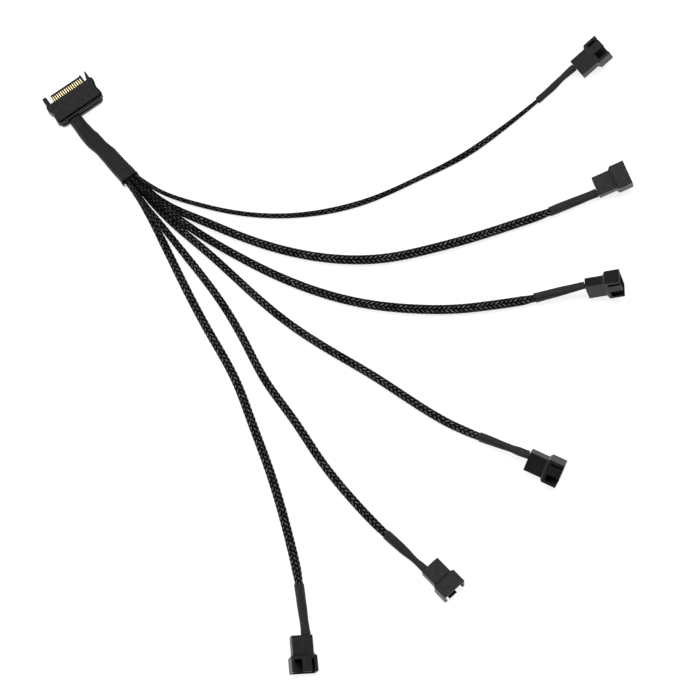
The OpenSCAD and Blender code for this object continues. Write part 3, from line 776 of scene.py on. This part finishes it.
def supply():
    starts = [
        [(-7.62, -8, 3.6), (-7.4, -10, 3.6), (-6.95, -12.8, 4.35)],
        [(-3.81, -8, 3.6), (-4.2, -10, 3.6), (-5.25, -12.8, 4.35)],
        [(3.81, -8, 3.6), (2.5, -10.2, 3.6), (-2.2, -11.2, 3.6), (-4.4, -12.8, 2.65),
         (-5.25, -14, 2.65)],
        [(7.62, -8, 3.6), (5, -10.4, 1.95), (-4.6, -10.8, 1.95), (-6.6, -12, 2.3),
         (-6.95, -13.4, 2.65)]]
    sides4 = [(0.85, 0.85), (-0.85, 0.85), (-0.85, -0.85), (0.85, -0.85)]
    c = np.array([(q[0], q[1], 3.4) for q in TRUNK])
    vs, qs, base = [], [], 0
    for w in range(4):
        p = [in_power(q) for q in starts[w]]
        for i in range(7):
            tan = c[min(i + 1, 8)] - c[max(i - 1, 0)]
            s = unit(np.cross(tan, (0, 0, 1)))
            p.append(c[i] + s * sides4[w][0] + np.array([0, 0, sides4[w][1]]))
        line = rounded_line(np.array(p), 0.6, 1.2)
        v, q = tube(line, np.full(len(line), 0.75), 12)
        vs.append(v)
        qs.append(q + base)
        base += len(v)
    return quads_object("supply_leads", np.vstack(vs), np.vstack(qs), [WIRE])


SUPPLY = supply()


# ---------------------------------------------------------------- power plug
def power(p):
    return tuple(in_power(p))


def side_outline(w):
    f = FRONT_Y
    return [(w - 1.5, f), (w - 1.2, f + 0.1), (w - 1, f + 0.2), (w - 0.7, f + 0.12), (w - 0.4, f - 0.1),
            (w - 0.2, f - 0.4), (w - 0.05, f - 0.7), (w, f - 1.4), (w - 0.05, f - 2.6), (w - 0.3, f - 3.7),
            (w - 0.8, f - 4.8), (w - 1.4, f - 5.6), (w - 1.5, f - 6.2), (w - 1.1, f - 7.1),
            (w - 0.7, f - 8.2), (w - 0.55, f - 9.5), (w - 0.58, REAR_Y + 0.8), (w - 0.65, REAR_Y + 0.3),
            (w - 0.9, REAR_Y)]


def refine(pts, times=2):
    """Cuts the corners of a curved stretch of outline."""
    p = [np.array(q, float) for q in pts]
    for _ in range(times):
        out = [p[0]]
        for a, b in zip(p, p[1:]):
            out += [a * 0.75 + b * 0.25, a * 0.25 + b * 0.75]
        out.append(p[-1])
        p = out
    return [tuple(q) for q in p]


def housing():
    bm = bmesh.new()
    w, f = 15.1, FRONT_Y
    right = refine(side_outline(w), 1)
    outline = [(BODY_X + x, y) for x, y in right] + [(BODY_X - x, y) for x, y in right[::-1]]
    prism(bm, outline[::-1], 0.0, 7.0, 0.35, 3, place=power)
    # guide arms: pointed by the key, blunt at the other end
    arm = [(w - 3.4, f - 1), (w - 3.4, f), (w - 2.7, f + 2), (w - 1.9, f + 4.4), (w - 1.65, f + 4.9),
           (w - 1.4, f + 5.1), (w - 1.15, f + 5.1), (w - 1, f + 4.9), (w - 1, f - 1)]
    prism(bm, [(BODY_X + x, y) for x, y in arm[::-1]], 0.9, 6.1, 0.25, 3, place=power)
    arm = [(-w + 3.4, f - 1), (-w + 3.4, f + 4.8), (-w + 3.3, f + 5.05), (-w + 3.1, f + 5.2),
           (-w + 1.3, f + 5.2), (-w + 1.1, f + 5.05), (-w + 1, f + 4.8), (-w + 1, f - 1)]
    prism(bm, [(BODY_X + x, y) for x, y in arm], 0.9, 6.1, 0.3, 3, place=power)
    # tongue with a chamfered leading edge
    zb, zt = 4.45 - 1.55, 4.45
    y0, y1 = f - 1, f + 5
    prof = [(y0, zb), (y1 - 0.5, zb), (y1 - 0.05, zb + 0.35), (y1, zb + 0.5), (y1, zt - 0.45),
            (y1 - 0.08, zt - 0.28), (y1 - 0.55, zt), (y0, zt)]
    rings = []
    for x, k in ((-9.6, 0.12), (-9.5, 0.03), (-9.4, 0), (10.2, 0), (10.32, 0.03), (10.4, 0.12)):
        q = offset_outline(prof, k)
        rings.append([power((x, y, z)) for y, z in q])
    add_loft(bm, rings)
    # low ribs between the contacts
    for g in range(16):
        x = (g - 7.5) * 1.27
        rib = [(x - 0.16, y0), (x + 0.16, y0), (x + 0.16, y1 - 0.7), (x - 0.16, y1 - 0.7)]
        prism(bm, rib, zt - 0.2, zt + 0.12, 0.03, 2, place=power)
    # key
    prism(bm, [(9.52, y0), (10.4, y0), (10.4, y1 - 0.15), (10.2, y1), (9.7, y1), (9.52, y1 - 0.15)],
          zb, zt + 1, 0.12, 3, place=power)
    return bm_object("power_plug_body", bm, [PLASTIC])


def cap_outline(y):
    """Flange of the cap with well rounded rear corners, its rear face at y."""
    h = [(13.6, REAR_Y - CAP_GAP), (13.58, y + 1.5), (13.45, y + 1.1), (13.15, y + 0.75), (12.75, y + 0.45),
         (12.2, y + 0.2), (11.5, y + 0.05), (10.7, y)]
    return [(BODY_X - a, b) for a, b in h] + [(BODY_X + a, b) for a, b in h[::-1]]


def cap():
    """Rear cap: lower flange with a rounded ledge, groove, upper flange."""
    bm = bmesh.new()
    prism(bm, cap_outline(CAP_Y), 0.3, 3.5, 0.25, 4, place=power, top=0.3)
    prism(bm, cap_outline(CAP_Y + 0.6), 3.3, 4.95, 0.04, 1, place=power)
    prism(bm, cap_outline(CAP_Y + 0.45), 4.75, 6.2, 0.1, 3, place=power, top=0.25)
    neck = [(12.4, REAR_Y + 0.6), (12.4, REAR_Y - 0.6), (-13.2, REAR_Y - 0.6), (-13.2, REAR_Y + 0.6)]
    prism(bm, neck[::-1], 0.9, 5.5, 0.1, 2, place=power)
    return bm_object("power_plug_cap", bm, [CAP_PLASTIC])


def contacts():
    bm = bmesh.new()
    for g in range(15):
        x = (g - 7) * 1.27
        z0, z1 = 4.45, 4.6
        y0, y1 = FRONT_Y - 3, FRONT_Y + 3.85
        rows = []
        for y, h, sh in ((y0, z1, 0), (y1 - 0.5, z1, 0), (y1 - 0.2, z1 - 0.02, 0.02), (y1 - 0.03, z0 + 0.07, 0.07),
                         (y1, z0 + 0.02, 0.1)):
            a = 0.28 - sh
            rows.append([power(q) for q in (
                (x - a, y, z0 - 0.02), (x + a, y, z0 - 0.02), (x + a, y, h - 0.05),
                (x + a - 0.05, y, h), (x - a + 0.05, y, h), (x - a, y, h - 0.05))])
        add_loft(bm, rows)
    return bm_object("contact_blades", bm, [GOLD], sharp=50)


HOUSING, CAP, CONTACTS = housing(), cap(), contacts()


# ---------------------------------------------------------------- fan plugs
def fan_shell():
    """Mesh of a fan plug in its own frame, millimetres: rear body, groove,
    shoulders, shroud, socket and rear chamber in one skin, then the slots."""
    bm = bmesh.new()

    def ring(x, hy, hz, r):
        return [(x, y, z) for y, z in round_rect(hy, hz, r)]
    # from the floor of the rear chamber out, round the outside, into the socket
    rings = [ring(3.5, 4.9, 2.0, 0.2), ring(0.35, 4.95, 2.05, 0.2), ring(0.1, 5.03, 2.13, 0.22),
             ring(0.0, 5.15, 2.25, 0.25)]
    for a in (30, 60, 90):
        k = 0.28 * (1 - math.sin(math.radians(a)))
        rings.append(ring(0.28 * (1 - math.cos(math.radians(a))), 5.55 - k, 2.9 - k, 0.3))
    rings += [ring(9.38, 5.55, 2.9, 0.3), ring(9.44, 5.5, 2.85, 0.28), ring(9.58, 5.5, 2.85, 0.28),
              ring(9.66, 5.55, 2.9, 0.3), ring(9.76, 5.6, 2.96, 0.3),
              ring(10.9, 6.74, 4.14, 0.34), ring(11.0, 6.83, 4.23, 0.35), ring(11.12, 6.88, 4.28, 0.36),
              ring(11.25, 6.9, 4.3, 0.36),
              ring(18.85, 6.9, 4.3, 0.36), ring(19.0, 6.85, 4.25, 0.33), ring(19.1, 6.73, 4.13, 0.28),
              ring(19.1, 6.0, 3.3, 0.35), ring(18.96, 5.85, 3.15, 0.3), ring(18.7, 5.8, 3.1, 0.3),
              ring(11.4, 5.8, 3.1, 0.3)]
    add_loft(bm, rings)
    bmesh.ops.recalc_face_normals(bm, faces=bm.faces)
    me = bpy.data.meshes.new("fan_shell")
    bm.to_mesh(me)
    bm.free()
    shell = bpy.data.objects.new("fan_shell_tmp", me)
    bpy.context.scene.collection.objects.link(shell)
    tools = []
    for y0, y1 in ((3.7, 5.2), (-5.4, -1.3)):
        bt = bmesh.new()
        rows = []
        for z, g in ((2.0, 0), (4.16, 0), (4.36, 0.2), (4.7, 0.2)):
            rows.append([(12.4 - g, y0 - g, z), (24, y0 - g, z), (24, y1 + g, z), (12.4 - g, y1 + g, z)])
        add_loft(bt, rows)
        bmesh.ops.recalc_face_normals(bt, faces=bt.faces)
        mt = bpy.data.meshes.new("slot_tool")
        bt.to_mesh(mt)
        bt.free()
        tool = bpy.data.objects.new("slot_tool", mt)
        bpy.context.scene.collection.objects.link(tool)
        b = shell.modifiers.new("slot", "BOOLEAN")
        b.operation, b.solver, b.object = "DIFFERENCE", "EXACT", tool
        tools.append(tool)
    dg = bpy.context.evaluated_depsgraph_get()
    cut = bpy.data.meshes.new_from_object(shell.evaluated_get(dg))
    for o in [shell, *tools]:
        bpy.data.objects.remove(o, do_unlink=True)
    return cut


FAN_MESH = fan_shell()


def fan_plug(i):
    bm = bmesh.new()
    bm.from_mesh(FAN_MESH)
    m = Matrix([[*row, t] for row, t in zip(rot_fan(i).tolist(), fan_origin(i))] + [[0, 0, 0, 1]])
    bmesh.ops.transform(bm, matrix=m, verts=bm.verts)
    return bm_object(f"fan_connector_{i + 1}", bm, [FAN_PLASTIC], sharp=40)


def pins(i):
    bm = bmesh.new()
    for k in (0, 1):
        y = (1.5 - k) * 2.54
        rows = []
        for x, r in ((3.6, 0.7), (3.7, 0.85), (8.8, 0.85), (9.0, 0.6)):
            rows.append([tuple(in_fan(i, (x, y + r * math.cos(a), r * math.sin(a))))
                         for a in np.arange(16) * math.pi / 8])
        add_loft(bm, rows)
        rows = []
        for x, h in ((8.5, 0.32), (17.0, 0.32), (17.55, 0.17), (17.7, 0.1)):
            rows.append([tuple(in_fan(i, (x, y + a, b))) for a, b in round_rect(h, h, h * 0.25, 2)])
        add_loft(bm, rows)
    return bm_object(f"pins_{i + 1}", bm, [TIN], sharp=35)


FANS = [fan_plug(i) for i in range(6)]
PINS = [pins(i) for i in range(6)]

# ---------------------------------------------------------------- attach to the root body, hide the model's parts
for i in range(6):
    n = i + 1
    sleeve, line, length, half = SLEEVES[i]
    for piece, node, slot in (
            (sleeve, f"lead_{n}_braid", "braided_sleeve"), (FAN_WIRES[i], f"lead_{n}_wires", "wire_insulation"),
            (BOOT_PIECES[i], f"lead_{n}_boot", "shrink_tubing"), (FANS[i], f"fan_plug_{n}", "fan_plug_plastic"),
            (PINS[i], f"fan_pins_{n}", "pin_metal")):
        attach(piece, "root")
        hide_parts(node)
for piece, node, slot in (
        (TRUNK_PIECE, "trunk_tubing", "shrink_tubing"), (SUPPLY, "supply_wires", "wire_insulation"),
        (HOUSING, "plug_housing", "plug_plastic"), (CAP, "plug_rear_cap", "plug_plastic"),
        (CONTACTS, "power_contacts", "contact_gold")):
    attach(piece, "root")
    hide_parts(node)

# ---------------------------------------------------------------- studio
fm = bpy.data.materials.new("floor")
fm.use_nodes = True
fb = fm.node_tree.nodes["Principled BSDF"]
fb.inputs["Base Color"].default_value = (0.95, 0.95, 0.95, 1)
fb.inputs["Emission Color"].default_value = (1, 1, 1, 1)
fb.inputs["Emission Strength"].default_value = 0.78
fb.inputs["Roughness"].default_value = 0.9
fb.inputs["Specular IOR Level"].default_value = 0.0
bpy.ops.mesh.primitive_plane_add(size=6, location=(0, 0, -0.0001))
floor = bpy.context.object
floor.name = "floor"
floor.data.materials.append(fm)

world = bpy.data.worlds.new("studio")
bpy.context.scene.world = world
world.use_nodes = True
wn = world.node_tree
wn.nodes.clear()
wo = wn.nodes.new("ShaderNodeOutputWorld")
bg = wn.nodes.new("ShaderNodeBackground")
wc = wn.nodes.new("ShaderNodeTexCoord")
sep = wn.nodes.new("ShaderNodeSeparateXYZ")
wr = wn.nodes.new("ShaderNodeValToRGB")
wn.links.new(wc.outputs["Generated"], sep.inputs[0])
wn.links.new(sep.outputs["Z"], wr.inputs["Fac"])
wn.links.new(wr.outputs["Color"], bg.inputs["Color"])
wn.links.new(bg.outputs["Background"], wo.inputs["Surface"])
cr = wr.color_ramp
cr.elements[0].position, cr.elements[0].color = 0.0, (0.5, 0.5, 0.5, 1)
cr.elements[1].position, cr.elements[1].color = 1.0, (0.12, 0.12, 0.12, 1)
for at, v in ((0.12, 0.45), (0.3, 0.16), (0.6, 0.12)):
    e = cr.elements.new(at)
    e.color = (v, v, v, 1)
bg.inputs["Strength"].default_value = 1.0


def softbox(name, at, aim, size, radiance):
    """Rectangular area light: size is its width and height, radiance its brightness."""
    d = bpy.data.lights.new(name, "AREA")
    d.shape, d.size, d.size_y = "RECTANGLE", size[0], size[1]
    d.energy = radiance * math.pi * size[0] * size[1]
    o = bpy.data.objects.new(name, d)
    o.location = at
    o.rotation_euler = (Vector(aim) - Vector(at)).to_track_quat("-Z", "Y").to_euler()
    bpy.context.scene.collection.objects.link(o)
    return o


softbox("overhead", (-0.15, 0.85, 2.2), (-0.15, 0.05, 0), (2.6, 0.85), 2.7)
softbox("left", (-1.6, 0.15, 0.65), (0, 0, 0), (0.8, 0.5), 2.5)

bpy.context.scene.view_settings.view_transform = "Standard"
bpy.context.scene.view_settings.look = "None"
